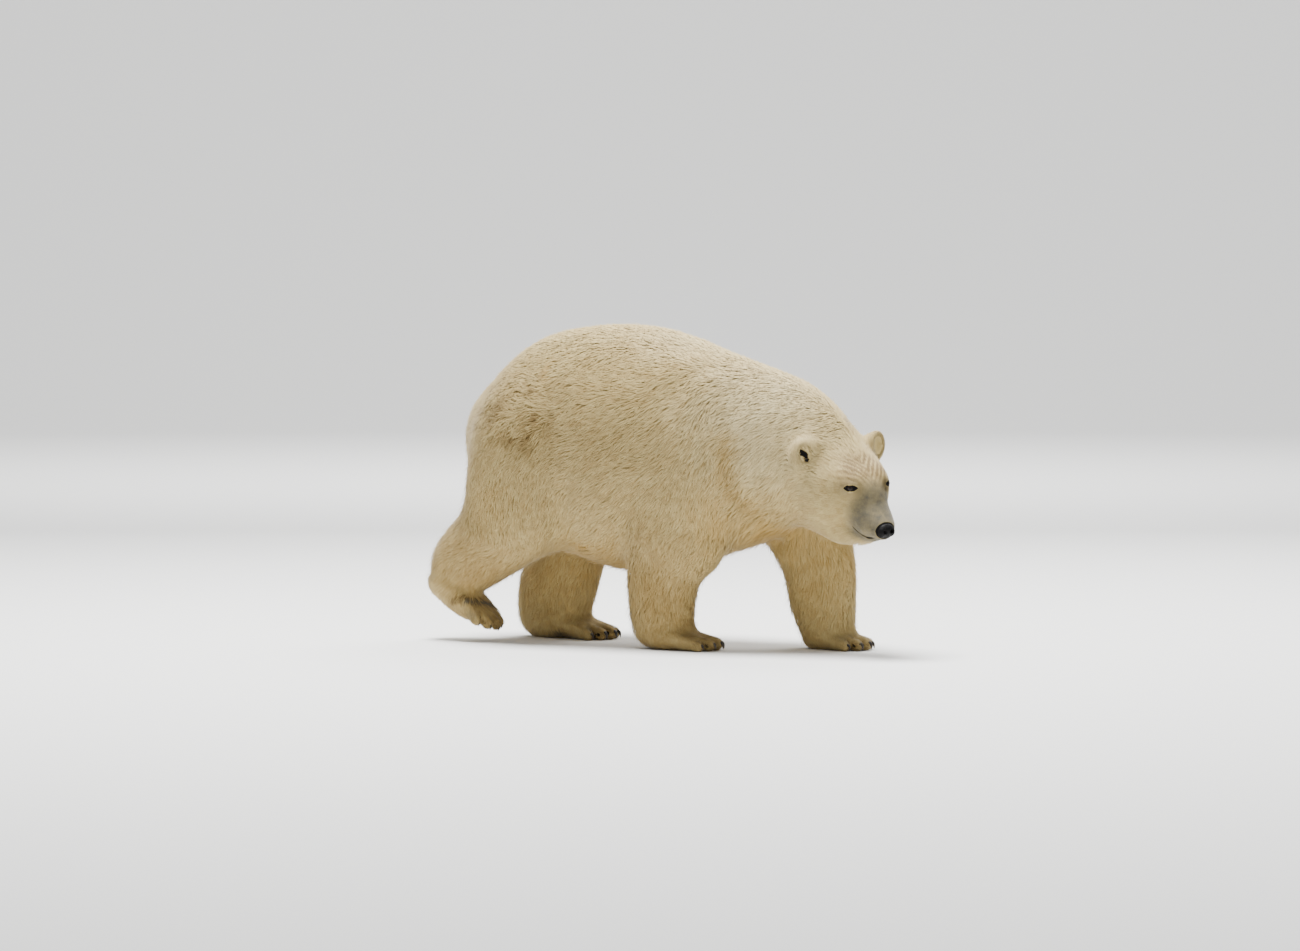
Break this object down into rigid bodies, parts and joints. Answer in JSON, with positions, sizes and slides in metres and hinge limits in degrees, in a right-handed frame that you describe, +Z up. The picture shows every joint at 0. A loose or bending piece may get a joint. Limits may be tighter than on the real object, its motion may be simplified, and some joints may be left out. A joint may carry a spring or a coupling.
{
  "type": "polar bear",
  "caption": "Still life-size walking polar bear, head turned to its right and lowered, right hind foot lifted, the other feet flat on the floor.",
  "frame": {"origin": "on the floor under the middle of the bear's bounding box", "axes": "+X the way the bear walks, +Y its left side, +Z up"},
  "size_m": [2.0932, 0.7271, 1.2822],
  "materials": {
    "coat": "dense cream fur",
    "paw_coat": "stained golden fur",
    "claw": "dark horn",
    "nose": "moist black skin",
    "eye": "wet dark brown"
  },
  "bodies": {
    "root": {"claw_fore_left_1": "claw", "claw_fore_left_2": "claw", "claw_fore_left_3": "claw", "claw_fore_left_4": "claw", "claw_fore_left_5": "claw", "claw_fore_right_1": "claw", "claw_fore_right_2": "claw", "claw_fore_right_3": "claw", "claw_fore_right_4": "claw", "claw_fore_right_5": "claw", "claw_hind_left_1": "claw", "claw_hind_left_2": "claw", "claw_hind_left_3": "claw", "claw_hind_left_4": "claw", "claw_hind_left_5": "claw", "claw_hind_right_1": "claw", "claw_hind_right_2": "claw", "claw_hind_right_3": "claw", "claw_hind_right_4": "claw", "claw_hind_right_5": "claw", "ear_left": "coat", "ear_right": "coat", "eye_left": "eye", "eye_right": "eye", "head": "coat", "lower_leg_fore_left": "coat", "lower_leg_fore_right": "coat", "lower_leg_hind_left": "coat", "lower_leg_hind_right": "coat", "muzzle": "coat", "neck": "coat", "nose": "nose", "paw_fore_left": "paw_coat", "paw_fore_right": "paw_coat", "paw_hind_left": "paw_coat", "paw_hind_right": "paw_coat", "tail": "coat", "torso": "coat", "upper_leg_fore_left": "coat", "upper_leg_fore_right": "coat", "upper_leg_hind_left": "coat", "upper_leg_hind_right": "coat"}
  },
  "joints": []
}
